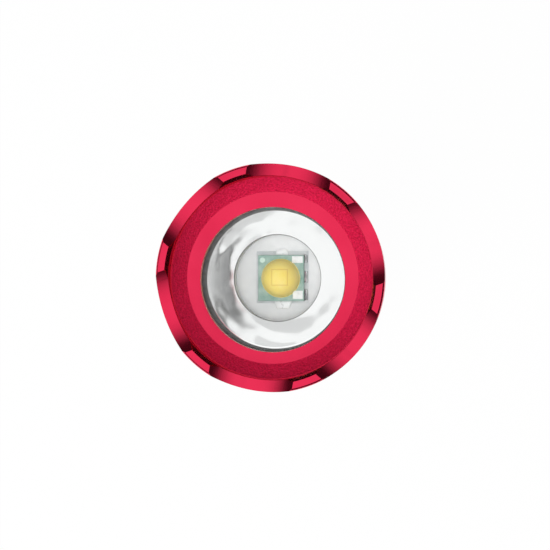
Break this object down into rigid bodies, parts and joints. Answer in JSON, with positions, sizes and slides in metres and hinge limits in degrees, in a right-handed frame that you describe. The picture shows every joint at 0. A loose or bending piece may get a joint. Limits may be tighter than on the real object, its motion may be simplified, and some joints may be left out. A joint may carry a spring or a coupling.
{
  "type": "keychain flashlight",
  "caption": "Small twist-head flashlight with a scalloped crown, fluted barrel, mirror reflector and a split ring on its notched tail.",
  "frame": {"origin": "centre of the flat tail face, which the light stands on", "axes": "+Z along the barrel from tail to crown, -X towards the key ring"},
  "size_m": [0.0229, 0.016, 0.07],
  "materials": {
    "anodised_red": "satin anodised, bead-blasted in the recess",
    "ring_steel": "bright nickel plated spring steel",
    "contact_brass": "bright",
    "black_rubber": "satin",
    "cell_steel": "plain steel",
    "cell_filling": "packed powder, never seen",
    "cell_film": "plain film with no print",
    "cell_gasket": "moulded",
    "mirror_coat": "vacuum-coated mirror",
    "clear_glass": "clear",
    "white_plastic": "moulded",
    "board_white": "white solder mask on metal core",
    "led_green": "green substrate with pale corner pads",
    "led_chip": "phosphor on the die",
    "led_silicone": "yellow-tinted clear silicone",
    "pill_metal": "turned",
    "board_green": "solder mask on laminate",
    "chip_black": "moulded",
    "ferrite": "pressed",
    "tan_ceramic": "fired",
    "wire_red": "insulation",
    "wire_black": "insulation",
    "solder": "bright solder"
  },
  "bodies": {
    "barrel": {"body_tube": "anodised_red", "tube_o_ring": "black_rubber", "tail_cap": "anodised_red", "ring_pin": "ring_steel", "contact_plate": "contact_brass", "tail_spring": "ring_steel"},
    "cell": {"cell_can": "cell_steel", "cell_fill": "cell_filling", "cell_wrap": "cell_film", "cell_seal": "cell_gasket", "cell_cap": "cell_steel"},
    "head": {"head_body": "anodised_red", "crown_bezel": "anodised_red", "reflector": "mirror_coat", "lens": "clear_glass", "lens_gasket": "black_rubber", "centering_ring": "white_plastic", "led_board": "board_white", "led_substrate": "led_green", "led_die": "led_chip", "led_dome": "led_silicone", "heat_sink_pill": "pill_metal", "driver_board": "board_green", "ground_ring": "contact_brass", "centre_contact": "contact_brass", "driver_chip": "chip_black", "driver_capacitor": "tan_ceramic", "driver_coil": "ferrite", "lead_positive": "wire_red", "lead_negative": "wire_black", "solder_positive": "solder", "solder_negative": "solder"},
    "key_ring": {"split_ring": "ring_steel"}
  },
  "joints": [
    {"name": "head_advance", "type": "slide", "parent": "barrel", "child": "cell", "axis": [0, 0, 1], "range_m": [-0.0002, 0.00401], "deforming": ["tail_spring"]},
    {"name": "head_twist", "type": "hinge", "parent": "cell", "child": "head", "pos_m": [0, 0, 0], "axis": [0, 0, 1], "range_deg": [-85, 1800]},
    {"name": "ring_swing", "type": "hinge", "parent": "barrel", "child": "key_ring", "pos_m": [-0.0052, 0, 0.00325], "axis": [0, 0, 1], "range_deg": [-25, 25]}
  ],
  "couplings": [
    {"joint": "head_advance", "follows": "head_twist", "m_per_rad": 0.00012732}
  ]
}
